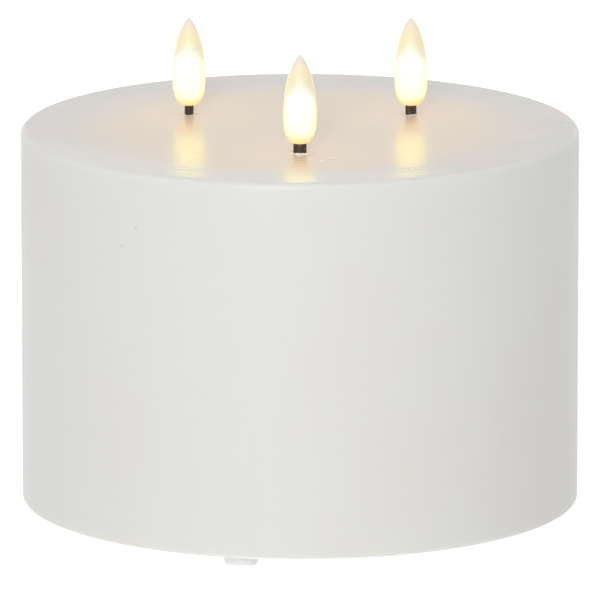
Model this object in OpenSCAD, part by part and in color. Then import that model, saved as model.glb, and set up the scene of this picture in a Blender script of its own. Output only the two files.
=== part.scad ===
// Flameless LED candle: a wide hollow wax pillar with three LED flames on a battery base.
// Millimetres, +Z up, front towards -Y. The origin is on the table, midway under the feet.

/* [Wax pillar] */
// Diameter of the wax pillar
candle_d = 150; // [146:1:190]
// Height of the wax, from its underside to its top face
wax_h = 101.6; // [80:0.2:160]
// Wall of the hollow wax
wax_wall = 6; // [5:0.25:7]
// Thickness of the wax over the hollow
wax_top = 8; // [6:0.5:12]
// Rounding of the top rim
rim_round = 1.6; // [0.8:0.1:3]
// Rounding of the lower edge
hem_round = 1; // [0.5:0.1:2]

/* [Flames and wicks] */
// Radius of the circle that the three wicks stand on
wick_circle_r = 34.6; // [32:0.2:42]
// Height of a flame, from its foot to its tip
flame_h = 24; // [18:0.5:32]
// Widest diameter of a flame
flame_d = 8.8; // [7.6:0.2:12]
// Height of the widest place above the flame's foot
flame_belly = 6.5; // [5.5:0.5:10]
// Diameter of the flat foot of a flame
flame_foot_d = 3.8; // [3.5:0.1:4.4]
// Width of the flattened wick sleeve
wick_w = 3.6; // [3.4:0.1:4]
// Thickness of the flattened wick sleeve
wick_t = 2.5; // [2.3:0.1:3]
// Wall of the wick sleeve
wick_wall = 0.4; // [0.3:0.05:0.5]
// Length of sleeve that shows between wax and flame
wick_show = 2.7; // [1.5:0.1:5]
// Length of sleeve that sits inside a carrier post
wick_seat = 6; // [3:0.5:10]
// Diameter of an LED
led_d = 3; // [2.8:0.1:3]
// Length of an LED, with its dome
led_l = 5.3; // [4:0.1:6]
// Thickness of an LED leg
leg_t = 0.5; // [0.4:0.05:0.6]
// Length of the LED legs
leg_l = 27; // [22:1:30]

/* [Feet] */
// Height of the wax above the table
foot_h = 4; // [2.5:0.5:8]
// Diameter of a foot
foot_d = 9; // [7:0.5:11]
// Distance from the outside of the wax to a foot's centre
foot_inset = 10; // [8:0.5:14]
// Direction of the first foot, counted from +X
foot_turn = -103.9; // [-120:0.1:-90]
// Depth of the pocket that a foot is stuck in
foot_pocket = 1; // [0.6:0.1:1.4]
// Rounding of a foot's lower edge
foot_round = 1.2; // [0.6:0.1:2]

/* [Base tray] */
// Thickness of the base plate
plate_t = 2.4; // [2:0.2:4]
// Depth of the base plate above the lower edge of the wax
plate_recess = 0.6; // [0.2:0.1:2]
// Width of the step in the wax that the plate sits in
plate_step = 2.5; // [1.5:0.1:3]
// Height of the centring ring above the plate
skirt_h = 2; // [1.5:0.5:4]
// Thickness of the ring, the ribs and the battery walls
tray_wall = 1.8; // [1.4:0.1:2.2]
// Height of the stiffening ribs
rib_h = 2; // [1:0.5:4]

/* [Batteries] */
// Diameter of a C cell in its jacket
cell_d = 26.2; // [25.6:0.1:26.6]
// Length of a C cell with its nub
cell_l = 50; // [49:0.1:51]
// Height of the nub
nub_h = 1.5; // [1:0.1:2]
// Diameter of the nub
nub_d = 7; // [5:0.5:8]
// Thickness of the jacket
jacket_t = 0.3; // [0.2:0.05:0.5]
// Gap between the two cells
cell_gap = 1.4; // [1:0.1:2]
// Length of a contact spring under a cell
spring_h = 6; // [5:0.5:7]
// Thickness of the spring wire
spring_wire = 0.9; // [0.7:0.1:1.1]
// Thickness of the contact sheet
contact_t = 0.4; // [0.3:0.05:0.5]

/* [Battery door] */
// Thickness of the battery door
door_t = 2; // [1.6:0.1:2.4]
// Width of the ledge that the door lies against
door_ledge = 2.5; // [2:0.1:3]
// Thickness of that ledge
ledge_t = 1.6; // [1.2:0.1:2.4]
// Width of a hinge tab
tab_w = 5.6; // [4:0.2:6]
// Reach of a hinge tab past the edge of the door
tab_reach = 3; // [2:0.1:3.4]
// Thickness of a hinge tab
tab_t = 1.35; // [1:0.05:1.6]
// Width of the latch tongue
latch_w = 12; // [8:0.5:16]
// Thickness of the latch tongue
latch_t = 1.2; // [1:0.1:1.4]
// Height of the tongue's bend above the strike
latch_rise = 3.2; // [2.6:0.1:5]
// Reach of the catch over the tray
catch_reach = 0.7; // [0.4:0.1:1]

/* [Carrier] */
// Outer diameter of a post
post_d = 8; // [7.2:0.2:10]
// Thickness of the carrier's arms
arm_t = 2.4; // [1.8:0.2:4]
// Width of the carrier's arms
arm_w = 11; // [8:0.5:14]
// Gap between the battery box and the carrier, for the leads
lead_gap = 3; // [2.4:0.2:5]
// Radius of the circle of carrier screws
carrier_screw_r = 14; // [12:0.5:16]

/* [Board and switch] */
// Width of the circuit board, across the tray
board_w = 20; // [19:0.5:22]
// Length of the circuit board
board_l = 40; // [38:0.5:44]
// Thickness of the circuit board
board_t = 1.6; // [1:0.2:2]
// Height of the slide switch
switch_h = 5.4; // [5:0.1:7]
// Travel of the switch knob each way from ON
switch_travel = 2; // [1.5:0.1:2.2]
// Distance from the board's inner edge to the switch
switch_inset = 11.5; // [10.5:0.5:12.5]
// Width of the knob
knob_w = 3; // [2.6:0.1:3.4]
// Length of the knob
knob_l = 4; // [3.4:0.1:4.4]

/* [Hidden] */

$fn = 96;
// How far a cut runs past the face it opens
over = 0.2;
// Clearance of a piece that is seated without touching
seat = 0.3;
// Radial clearance of a piece that is pushed into a bore
fit = 0.05;
// Clearance round the battery door
door_gap = 0.3;

// Levels, from the table up
wax_z0 = foot_h;
wax_z1 = wax_z0 + wax_h;
hollow_z1 = wax_z1 - wax_top;
plate_z0 = wax_z0 + plate_recess;
plate_z1 = plate_z0 + plate_t;
door_z1 = plate_z0 + door_t;
ledge_z0 = door_z1 + 0.1;
ledge_z1 = max(ledge_z0 + ledge_t, plate_z1);
cell_z = door_z1 + seat + cell_d / 2;
well_z1 = cell_z + cell_d / 2 + seat;
roof_z1 = well_z1 + tray_wall;
carrier_z0 = roof_z1 + lead_gap;
flame_z0 = wax_z1 + wick_show;
flame_foot_r = flame_foot_d / 2;

// Radii
candle_r = candle_d / 2;
hollow_r = candle_r - wax_wall;
step_r = hollow_r + plate_step;
plate_r = step_r - seat;
skirt_r = hollow_r - seat;
foot_circle_r = candle_r - foot_inset;
wick_play = 0.4;
wick_hole_d = wick_w + 2 * wick_play;
post_seat_d = wick_w + 3 * 2 * fit;
post_neck_ledge = 0.2;
post_neck_d = wick_w - 2 * post_neck_ledge;
post_neck_l = 2;
post_wall = 1.5;
post_bore_d = post_d - 2 * post_wall;
hub_side = 5;

// Battery box
cell_x = (cell_d + cell_gap) / 2;
cell_play = 0.2;
well_w = 2 * cell_d + cell_gap + 4 * seat;
well_l = cell_l + spring_h + 2 * contact_t + cell_play;
door_w = well_w + 2 * door_ledge;
door_back_y = well_l / 2 + door_ledge;
latch_bend_r = 1.8;
latch_room = 2 * latch_bend_r + latch_t + 2 * seat + 1.6;
door_front_y = -(well_l / 2 + tray_wall + latch_room);
frame_w = door_w + 2 * (door_gap + tray_wall);
hinge_y = door_back_y + door_gap;
contact_w = 12;
contact_lift = 4;
contact_reach = 8;
contact_z0 = door_z1 + contact_lift;
contact_z1 = cell_z + contact_reach;
solder_tab_w = 4;
solder_tab_show = 1.2;
solder_tab_z1 = roof_z1 + solder_tab_show;

// Hinge tabs: the riser stands inside the edge of the door, and the tab reaches over the plate
tab_inset = 0.2;
tab_x = well_w / 2 - tab_w / 2 - tab_inset;
tab_lift = 0.15;
riser_t = 1.7;
riser_inset = 0.3;
tab_swing = norm([tab_reach, plate_t + tab_lift + tab_t]);

// Latch tongue: a U on edge, whose outer leg carries the catch
latch_out_y = door_front_y;
latch_bend_y = latch_out_y + latch_bend_r + latch_t / 2;
catch_z0 = ledge_z1 + seat;
latch_bend_z = catch_z0 + latch_rise;
catch_h = 1.5;
catch_nose = 0.4;
thumb_side = 2;
thumb_w = latch_w + 2 * thumb_side;
thumb_l = 9;
thumb_depth = 1.4;
grip_groove = 0.8;
grip_space = 2;

// Wicks and their turn about their own axes
wick_angles = [-90, 30, 150];
wick_turns = [0, 45, 90];
leg_play = 0.1;
leg_space = wick_w - 2 * wick_wall - 2 * leg_t - 2 * leg_play;
leg_z0 = flame_z0 - leg_l;

// Circuit board, beside the battery box, and its switch
board_side = 3;
board_x0 = frame_w / 2 + board_side;
board_x1 = board_x0 + board_w;
switch_lift = 0.2;
switch_x = board_x0 + switch_inset;
switch_w = 6;
switch_l = 13;
switch_z0 = plate_z1 + switch_lift;
switch_lip = 0.4;
board_z0 = switch_z0 + switch_h;
board_z1 = board_z0 + board_t;
knob_flange_t = 0.8;
knob_flange = 0.6;
knob_play = 0.1;
knob_z0 = plate_z0 + seat;
knob_z1 = switch_z0 + switch_lip + knob_play + knob_flange_t;
knob_slot_l = knob_l + 2 * switch_travel + 2 * seat;
knob_groove = [0.45, 0.7];
finger_depth = 1;
finger_side = 2;
pin_space = 3;
pin_d = 0.8;
pin_show = 1.2;
mount_inset = 3.5;
screw_x = board_x1 - mount_inset;
peg_x = board_x0 + mount_inset;
mount_y = board_l / 2 - mount_inset;
boss_d = 5;
peg_d = 2;
peg_show = 0.6;

// Screws: diameter, length, and diameter and height of the head
board_screw = [2, 6, 4, 1.4];
carrier_screw = [2.6, 6, 5, 1.8];
carrier_boss_d = 6.4;
// Clearance of a screw in the piece that it holds down, on the diameter
screw_play = 0.4;

// Parts on the board, each with its plan size, its height and its place across the board
parts_x = screw_x - 3;
chip = [4, 5, 1.4];
chip_y = 8;
chip_lift = 0.2;
chip_lead = 1.1;
chip_pitch = 1.27;
cap_d = 5;
cap_h = 7;
cap_y = -8;
resistor = [2, 1.2, 0.6];
resistor_pitch = 2.2;

// Leads: plan points of their pads on the board, and the profile of a lead as
// [distance from its start, height] near the flame and [distance to its pad, height] near the board
lead_d = 1;
lead_space = 1.7;
pad_x = board_x0 + 4.5;
led_pads = [[pad_x, -6], [pad_x, 13], [pad_x, 9]];
battery_pads = [[pad_x, -12.5], [pad_x, -1]];
// The LEDs' leads lie under the carrier, the battery's leads on the roof below them
led_lead_z = carrier_z0 - lead_d / 2 - 0.4;
battery_lead_z = roof_z1 + lead_d / 2 + seat;
// The lead swings to its own plane over this much of the post
lead_swing = 20;
lead_top = [[0.6, 1.6], [2.4, 0.2]];
lead_level = 9;
lead_end = [[5, -7], [2.2, 9], [0.5, 3.5], [0, 1.5], [0, 0]];

// ---- shared shapes -------------------------------------------------------

// Cuts the corner of a section at [x, y] down to a round of radius r, sx and sy saying which corner
module round_off(x, y, r, sx, sy) {
    difference() {
        translate([x - (sx > 0 ? r : over), y - (sy > 0 ? r : over)]) square(r + over);
        translate([x - sx * r, y - sy * r]) circle(r);
    }
}

module box_between(low, high) {
    translate(low) cube(high - low);
}

// A section drawn as [y, z], extruded across x
module across_x(width) {
    rotate([90, 0, 90]) linear_extrude(height = width, center = true) children();
}

module at_wick(i) {
    rotate(wick_angles[i]) translate([wick_circle_r, 0, 0])
        rotate(wick_turns[i] - wick_angles[i]) children();
}

module flat_oval(w, t) {
    square([w - t, t], center = true);
    for (side = [-1, 1]) translate([side * (w - t) / 2, 0]) circle(d = t);
}

module pan_screw(screw) {
    slot_w = screw[0] / 4;
    translate([0, 0, -screw[1]]) cylinder(d = screw[0], h = screw[1]);
    difference() {
        cylinder(d = screw[2], h = screw[3]);
        for (turn = [0, 90]) rotate(turn) translate([0, 0, screw[3]])
            cube([screw[2] * 0.6, slot_w, screw[3]], center = true);
    }
}

function unit(v) = v / norm(v);
function way(route, i) =
    i == 0 ? unit(route[1] - route[0])
    : i == len(route) - 1 ? unit(route[i] - route[i - 1])
    : unit(unit(route[i + 1] - route[i]) + unit(route[i] - route[i - 1]));
function ring(centre, t, side, r, n) =
    let (u = unit(side - t * (side * t)), v = cross(t, u))
    [for (k = [0:n - 1]) centre + r * (cos(360 * k / n) * u + sin(360 * k / n) * v)];

// A round tube along a route, whose rings are turned to the side vector
module tube(route, d, side, n = 8) {
    rings = [for (i = [0:len(route) - 1]) ring(route[i], way(route, i), side, d / 2, n)];
    last = (len(route) - 1) * n;
    points = [for (one = rings) each one];
    walls = [
        for (i = [0:len(route) - 2]) for (k = [0:n - 1])
        [i * n + k, (i + 1) * n + k, (i + 1) * n + (k + 1) % n, i * n + (k + 1) % n]
    ];
    ends = [[for (k = [0:n - 1]) k], [for (k = [0:n - 1]) last + n - 1 - k]];
    polyhedron(points = points, faces = concat(walls, ends), convexity = 6);
}

// ---- wax -----------------------------------------------------------------

module wax_section() {
    difference() {
        translate([0, wax_z0]) square([candle_r, wax_h]);
        translate([-over, wax_z0 - over]) square([hollow_r + over, hollow_z1 - wax_z0 + over]);
        translate([-over, wax_z0 - over]) square([step_r + over, plate_z1 - wax_z0 + over]);
        round_off(candle_r, wax_z1, rim_round, 1, 1);
        round_off(candle_r, wax_z0, hem_round, 1, -1);
    }
}

module wax_shell() {
    color("#e4e2dd") difference() {
        rotate_extrude() wax_section();
        for (i = [0:2]) at_wick(i) translate([0, 0, hollow_z1 - over])
            cylinder(d = wick_hole_d, h = wax_top + 2 * over);
    }
}

// ---- base ----------------------------------------------------------------

module at_foot(i) {
    rotate(foot_turn + 120 * i) translate([foot_circle_r, 0, 0]) children();
}

module at_carrier_screw(i) {
    rotate(wick_angles[i]) translate([carrier_screw_r, 0, 0]) children();
}

module tray_solid() {
    translate([0, 0, plate_z0]) cylinder(r = plate_r, h = plate_t);
    translate([0, 0, plate_z1 - over]) difference() {
        cylinder(r = skirt_r, h = skirt_h + over);
        translate([0, 0, -over]) cylinder(r = skirt_r - tray_wall, h = skirt_h + 3 * over);
    }
    // No rib stands on the +X or -Y side, where the switch and the latch are
    for (turn = [45, 90, 135, 180, 225, 315]) rotate(turn) box_between(
        [well_w / 2, -tray_wall / 2, plate_z1 - over],
        [skirt_r - tray_wall / 2, tray_wall / 2, plate_z1 + rib_h]
    );
    // Frame round the door
    box_between(
        [-frame_w / 2, door_front_y - door_gap - tray_wall, plate_z0 + over],
        [frame_w / 2, hinge_y + tray_wall, ledge_z1]
    );
    // Walls and roof of the battery box
    box_between(
        [-well_w / 2 - tray_wall, -well_l / 2 - tray_wall, plate_z0 + over],
        [well_w / 2 + tray_wall, well_l / 2 + tray_wall, roof_z1]
    );
    for (i = [0:2]) at_carrier_screw(i) translate([0, 0, roof_z1 - over])
        cylinder(d = carrier_boss_d, h = lead_gap + over);
    for (y = [-mount_y, mount_y]) {
        translate([screw_x, y, plate_z1 - over]) cylinder(d = boss_d, h = board_z0 - plate_z1 + over);
        translate([peg_x, y, plate_z1 - over]) cylinder(d = boss_d, h = board_z0 - plate_z1 + over);
        translate([peg_x, y, board_z0 - over]) cylinder(d = peg_d, h = board_t + over + peg_show);
    }
}

module base_tray() {
    color("#eeeeea") difference() {
        tray_solid();
        // Door recess, battery well and the room round the latch
        box_between(
            [-door_w / 2 - door_gap, door_front_y - door_gap, plate_z0 - over],
            [door_w / 2 + door_gap, hinge_y, ledge_z0]
        );
        box_between([-well_w / 2, -well_l / 2, plate_z0], [well_w / 2, well_l / 2, well_z1]);
        box_between(
            [-latch_w / 2 - 2 * seat, door_front_y - door_gap, plate_z0],
            [latch_w / 2 + 2 * seat, -well_l / 2 - tray_wall, ledge_z1 + over]
        );
        // Windows that the hinge tabs reach and swing through
        for (x = [-tab_x, tab_x])
            box_between(
                [x - tab_w / 2 - seat, well_l / 2 - over, ledge_z0 - over],
                [x + tab_w / 2 + seat, hinge_y + over, plate_z0 + tab_swing + seat]
            );
        for (x = [-tab_x, tab_x])
            box_between(
                [x - tab_w / 2 - seat, hinge_y, plate_z1],
                [x + tab_w / 2 + seat, hinge_y + tab_reach + seat, plate_z0 + tab_swing + seat]
            );
        // Thumb scoop in front of the latch
        translate([0, door_front_y - door_gap, plate_z0]) thumb_scoop();
        for (i = [0:2]) at_foot(i) translate([0, 0, plate_z0 - over])
            cylinder(d = foot_d + 2 * fit, h = foot_pocket + over);
        for (i = [0:2]) at_carrier_screw(i) translate([0, 0, carrier_z0 + arm_t - carrier_screw[1]])
            cylinder(d = carrier_screw[0] + 2 * fit, h = carrier_screw[1]);
        for (y = [-mount_y, mount_y]) translate([screw_x, y, board_z1 - board_screw[1]])
            cylinder(d = board_screw[0] + 2 * fit, h = board_screw[1]);
        // Slots for the two solder tabs
        for (x = [-cell_x, cell_x])
            box_between(
                [x - solder_tab_w / 2 - seat, -well_l / 2, well_z1 - over],
                [x + solder_tab_w / 2 + seat, -well_l / 2 + contact_t + seat, roof_z1 + over]
            );
        // Switch slot and the finger recess round it
        translate([switch_x, 0, plate_z0 + plate_t / 2])
            cube([knob_w + 2 * seat, knob_slot_l, plate_t + 2 * over], center = true);
        box_between(
            [switch_x - knob_w, -knob_slot_l / 2 - finger_side, plate_z0 - over],
            [switch_x + knob_w, knob_slot_l / 2 + finger_side, plate_z0 + finger_depth]
        );
    }
}

// A thumb's scoop in the underside: deepest at the latch, running out to nothing
module thumb_scoop() {
    scoop_r = (thumb_l * thumb_l + thumb_depth * thumb_depth) / (2 * thumb_depth);
    intersection() {
        translate([-thumb_w / 2, -thumb_l - over, -over])
            cube([thumb_w, thumb_l + 2 * over, 2 * thumb_depth]);
        translate([0, 0, thumb_depth - scoop_r]) rotate([0, 90, 0])
            cylinder(r = scoop_r, h = thumb_w + 1, center = true, $fn = 360);
    }
}

module foot(i) {
    color("#f4f4f2") at_foot(i) rotate_extrude() difference() {
        square([foot_d / 2, plate_z0 + foot_pocket]);
        round_off(foot_d / 2, 0, foot_round, 1, -1);
    }
}

// ---- battery door --------------------------------------------------------

module battery_door() {
    color("#eeeeea") {
        difference() {
            box_between([-door_w / 2, door_front_y, plate_z0], [door_w / 2, door_back_y, door_z1]);
            // Notch for the outer leg of the latch
            box_between(
                [-latch_w / 2 - seat, door_front_y - over, plate_z0 - over],
                [latch_w / 2 + seat, door_front_y + latch_t + seat, door_z1 + over]
            );
            for (i = [0:3]) translate([0, door_front_y + (3 + i) * grip_space, plate_z0])
                cube([latch_w, grip_groove, grip_groove], center = true);
        }
        for (x = [-tab_x, tab_x]) {
            box_between(
                [x - tab_w / 2, door_back_y - riser_inset - riser_t, door_z1 - over],
                [x + tab_w / 2, door_back_y - riser_inset, plate_z1 + tab_lift + tab_t]
            );
            box_between(
                [x - tab_w / 2, door_back_y - riser_inset - over, plate_z1 + tab_lift],
                [x + tab_w / 2, hinge_y + tab_reach, plate_z1 + tab_lift + tab_t]
            );
        }
    }
}

module door_latch() {
    leg_y = latch_bend_y + latch_bend_r;
    color("#eeeeea") across_x(latch_w) {
        translate([leg_y - latch_t / 2, door_z1]) square([latch_t, latch_bend_z - door_z1]);
        translate([latch_out_y, plate_z0 + seat]) square([latch_t, latch_bend_z - plate_z0 - seat]);
        intersection() {
            translate([latch_bend_y, latch_bend_z]) difference() {
                circle(r = latch_bend_r + latch_t / 2);
                circle(r = latch_bend_r - latch_t / 2);
            }
            translate([latch_bend_y - 2 * latch_bend_r, latch_bend_z - over]) square(4 * latch_bend_r);
        }
        polygon([
            [latch_out_y - door_gap - catch_reach, catch_z0], [latch_out_y + over, catch_z0],
            [latch_out_y + over, catch_z0 + catch_h], [latch_out_y, catch_z0 + catch_h],
            [latch_out_y - door_gap - catch_reach, catch_z0 + catch_nose]
        ]);
    }
}

// ---- batteries and contacts ----------------------------------------------

// Both cells lie along y: cell 1 has its nub at the back, cell 2 at the front
module at_cell(i) {
    translate([i == 1 ? cell_x : -cell_x, 0, cell_z]) rotate([0, 0, i == 1 ? 0 : 180])
        translate([0, -well_l / 2 + contact_t + spring_h, 0]) rotate([-90, 0, 0]) children();
}

module cell_can(i) {
    can_d = cell_d - 2 * jacket_t;
    color("#b9bcc0") at_cell(i) {
        cylinder(d = can_d, h = cell_l - nub_h);
        cylinder(d = nub_d, h = cell_l);
    }
}

module cell_jacket(i) {
    end = 0.8;
    color("#3c4a52") at_cell(i) translate([0, 0, end]) difference() {
        cylinder(d = cell_d, h = cell_l - nub_h - 2 * end);
        translate([0, 0, -over]) cylinder(d = cell_d - 2 * jacket_t, h = cell_l);
    }
}

// A flat contact against the front wall of the well, with a solder tab through the roof
module front_contact(x) {
    y = -well_l / 2;
    color("#c9c6bd") {
        box_between([x - contact_w / 2, y, contact_z0], [x + contact_w / 2, y + contact_t, contact_z1]);
        box_between(
            [x - solder_tab_w / 2, y, contact_z1 - over],
            [x + solder_tab_w / 2, y + contact_t, solder_tab_z1]
        );
    }
}

// One sheet behind both cells joins them in series
module bridge_contact() {
    y = well_l / 2;
    color("#c9c6bd") box_between(
        [-cell_x - contact_w / 2, y - contact_t, contact_z0],
        [cell_x + contact_w / 2, y, contact_z1]
    );
}

// A cone-wound spring between a contact and the flat end of a cell
module contact_spring(i) {
    turns = 3.5;
    steps = 12 * turns;
    wide = 5.6;
    narrow = 3.6;
    free = spring_h - spring_wire;
    route = [
        for (k = [0:steps])
        let (r = wide + (narrow - wide) * k / steps, a = 360 * turns * k / steps)
        [r * cos(a), r * sin(a), -spring_h + spring_wire / 2 + free * k / steps]
    ];
    color("#c4c6c8") at_cell(i) tube(route, spring_wire, [0, 0, 1]);
}

// ---- carrier for the LEDs ------------------------------------------------

module led_carrier() {
    color("#e2e2dc") difference() {
        union() {
            translate([0, 0, carrier_z0]) cylinder(r = carrier_screw_r + hub_side, h = arm_t);
            for (i = [0:2]) rotate(wick_angles[i]) {
                translate([0, -arm_w / 2, carrier_z0]) cube([wick_circle_r, arm_w, arm_t]);
                translate([wick_circle_r, 0, carrier_z0]) cylinder(d = arm_w, h = arm_t);
                translate([wick_circle_r, 0, carrier_z0]) cylinder(d = post_d, h = hollow_z1 - carrier_z0);
            }
        }
        for (i = [0:2]) at_wick(i) {
            translate([0, 0, hollow_z1 - wick_seat]) cylinder(d = post_seat_d, h = wick_seat + over);
            translate([0, 0, carrier_z0 - over]) cylinder(d = post_neck_d, h = hollow_z1 - carrier_z0);
            translate([0, 0, carrier_z0 - over])
                cylinder(d = post_bore_d, h = hollow_z1 - wick_seat - post_neck_l - carrier_z0 + over);
        }
        translate([0, 0, carrier_z0 - over]) cylinder(r = carrier_screw_r - hub_side, h = arm_t + 2 * over);
        for (i = [0:2]) at_carrier_screw(i) translate([0, 0, carrier_z0 - over])
            cylinder(d = carrier_screw[0] + screw_play, h = arm_t + 2 * over);
    }
}

module carrier_screws() {
    color("#9a9c9e") for (i = [0:2]) at_carrier_screw(i) translate([0, 0, carrier_z0 + arm_t])
        pan_screw(carrier_screw);
}

// ---- control board and switch --------------------------------------------

module control_board() {
    color("#2f6b45") difference() {
        box_between([board_x0, -board_l / 2, board_z0], [board_x1, board_l / 2, board_z1]);
        for (y = [-mount_y, mount_y]) {
            translate([screw_x, y, board_z0 - over])
                cylinder(d = board_screw[0] + screw_play, h = board_t + 2 * over);
            translate([peg_x, y, board_z0 - over])
                cylinder(d = peg_d + 2 * fit, h = board_t + 2 * over);
        }
        for (k = [-1:1]) translate([switch_x, k * pin_space, board_z0 - over])
            cylinder(d = pin_d + 2 * fit, h = board_t + 2 * over);
    }
}

module board_screws() {
    color("#9a9c9e") for (y = [-mount_y, mount_y]) translate([screw_x, y, board_z1])
        pan_screw(board_screw);
}

module control_chip() {
    lead_w = 0.4;
    lead_t = 0.2;
    lead_h = chip_lift + chip[2] / 2;
    color("#232427") translate([parts_x, chip_y, board_z1]) {
        translate([0, 0, chip_lift + chip[2] / 2]) cube(chip, center = true);
        for (side = [-1, 1]) for (k = [0:3]) translate([side * chip[0] / 2, chip_pitch * (k - 1.5), 0]) {
            translate([side * (chip_lead - over) / 2, 0, lead_h])
                cube([chip_lead + over, lead_w, lead_t], center = true);
            translate([side * (chip_lead - lead_w / 2), 0, lead_h / 2])
                cube([lead_w, lead_w, lead_h], center = true);
        }
    }
}

module capacitor() {
    vent = 0.4;
    color("#2b3550") translate([parts_x, cap_y, board_z1]) difference() {
        cylinder(d = cap_d, h = cap_h);
        translate([0, 0, cap_h]) for (turn = [0, 90]) rotate(turn)
            cube([0.8 * cap_d, vent, vent], center = true);
    }
}

module resistors() {
    color("#3a3a3c") for (k = [-1:1])
        translate([parts_x, resistor_pitch * k, board_z1 + resistor[2] / 2]) cube(resistor, center = true);
}

module switch_body() {
    inner_w = knob_w + 2 * knob_flange + 2 * seat;
    color("#b4b6b8") difference() {
        translate([switch_x - switch_w / 2, -switch_l / 2, switch_z0]) cube([switch_w, switch_l, switch_h]);
        translate([switch_x, 0, switch_z0])
            cube([knob_w + 2 * seat, knob_slot_l, 3 * switch_lip], center = true);
        translate([switch_x - inner_w / 2, -knob_slot_l / 2 - knob_flange, switch_z0 + switch_lip])
            cube([inner_w, knob_slot_l + 2 * knob_flange, knob_flange_t + 2 * seat]);
    }
}

module switch_pins() {
    color("#d0b26a") for (k = [-1:1]) translate([switch_x, k * pin_space, board_z0])
        cylinder(d = pin_d, h = board_t + pin_show);
}

module switch_knob() {
    color("#2c2d30") {
        difference() {
            box_between(
                [switch_x - knob_w / 2, -knob_l / 2, knob_z0],
                [switch_x + knob_w / 2, knob_l / 2, knob_z1]
            );
            for (k = [-1:1]) translate([switch_x, knob_l / 4 * k, knob_z0])
                cube([knob_w + 2 * over, knob_groove[0], knob_groove[1]], center = true);
        }
        box_between(
            [switch_x - knob_w / 2 - knob_flange, -knob_l / 2 - knob_flange, knob_z1 - knob_flange_t],
            [switch_x + knob_w / 2 + knob_flange, knob_l / 2 + knob_flange, knob_z1]
        );
    }
}

// ---- flames, LEDs and wicks ----------------------------------------------

// Radius of a flame at height z: a quarter ellipse up to the belly, then a slow taper to the tip
function flame_r(z) =
    z < flame_belly
    ? flame_foot_r + (flame_d / 2 - flame_foot_r) * sqrt(1 - pow(1 - z / flame_belly, 2))
    : flame_d / 2 * pow(1 - pow((z - flame_belly) / (flame_h - flame_belly), 2.6), 0.8);

module flame(i) {
    lower = [for (k = [1:10]) let (z = flame_belly * pow(k / 10, 1.6)) [flame_r(z), z]];
    upper = [for (k = [1:13]) let (z = flame_belly + (flame_h - flame_belly) * k / 14) [flame_r(z), z]];
    outline = concat([[0, 0], [flame_foot_r, 0]], lower, upper, [[0, flame_h]]);
    color("#fff3cf") at_wick(i) translate([0, 0, flame_z0]) difference() {
        rotate_extrude() polygon(outline);
        translate([0, 0, -over]) cylinder(d = led_d + 2 * fit, h = led_l - led_d / 2 + over);
        translate([0, 0, led_l - led_d / 2]) sphere(d = led_d + 2 * fit);
    }
}

module led(i) {
    color("#fffbe8") at_wick(i) translate([0, 0, flame_z0]) {
        cylinder(d = led_d, h = led_l - led_d / 2);
        translate([0, 0, led_l - led_d / 2]) sphere(d = led_d);
    }
}

module led_legs(i) {
    color("#c4c6c8") at_wick(i) for (side = [-1, 1])
        translate([side * (leg_space + leg_t) / 2 - leg_t / 2, -leg_t / 2, leg_z0])
            cube([leg_t, leg_t, leg_l]);
}

module wick(i) {
    color("#33241f") at_wick(i) translate([0, 0, hollow_z1 - wick_seat])
        linear_extrude(height = wick_seat + wax_top + wick_show) difference() {
            flat_oval(wick_w, wick_t);
            flat_oval(wick_w - 2 * wick_wall, wick_t - 2 * wick_wall);
        }
}

// ---- leads ---------------------------------------------------------------

function wick_xy(i) = wick_circle_r * [cos(wick_angles[i]), sin(wick_angles[i])];
function raise(p, z) = [p[0], p[1], z];
// Points along a lead's profile at level z, from its start to its pad, moved sideways by off
function lead_run(from, to, off, z) =
    let (along = unit(to - from), long = norm(to - from) > 2 * lead_level)
    concat(
        [for (p = lead_top) raise(from + along * p[0] + off, z + p[1])],
        long ? [raise(to - along * lead_level + off, z)] : [],
        [for (p = lead_end) raise(to - along * p[0] + off, (p[1] < 0 ? z : board_z1) + p[1])]
    );

// The lead hangs from an LED leg down its post, under the carrier and down to its pad
module led_lead(i, side) {
    from = wick_xy(i);
    to = led_pads[i];
    leg_way = [cos(wick_turns[i]), sin(wick_turns[i])];
    along = unit(to - from);
    square_way = [-along[1], along[0]];
    plane_way = square_way * leg_way < 0 ? -square_way : square_way;
    at_leg = side * leg_way * (leg_space + leg_t) / 2;
    off = side * plane_way * lead_space / 2;
    route = concat(
        [raise(from + at_leg, leg_z0), raise(from + at_leg, leg_z0 - 3)],
        [raise(from + off, leg_z0 - lead_swing), raise(from + off, carrier_z0 + arm_t)],
        lead_run(from, to, off, led_lead_z)
    );
    color(side > 0 ? "#b3261e" : "#1f1f21") tube(route, lead_d, raise(plane_way, 0));
}

module battery_lead(x, pad) {
    from = [x, -well_l / 2 + contact_t + lead_d];
    along = unit(pad - from);
    route = concat([raise(from, battery_lead_z)], lead_run(from, pad, [0, 0], battery_lead_z));
    color(x < 0 ? "#b3261e" : "#1f1f21") tube(route, lead_d, [-along[1], along[0], 0]);
}

// ---- what is drawn -------------------------------------------------------

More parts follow.
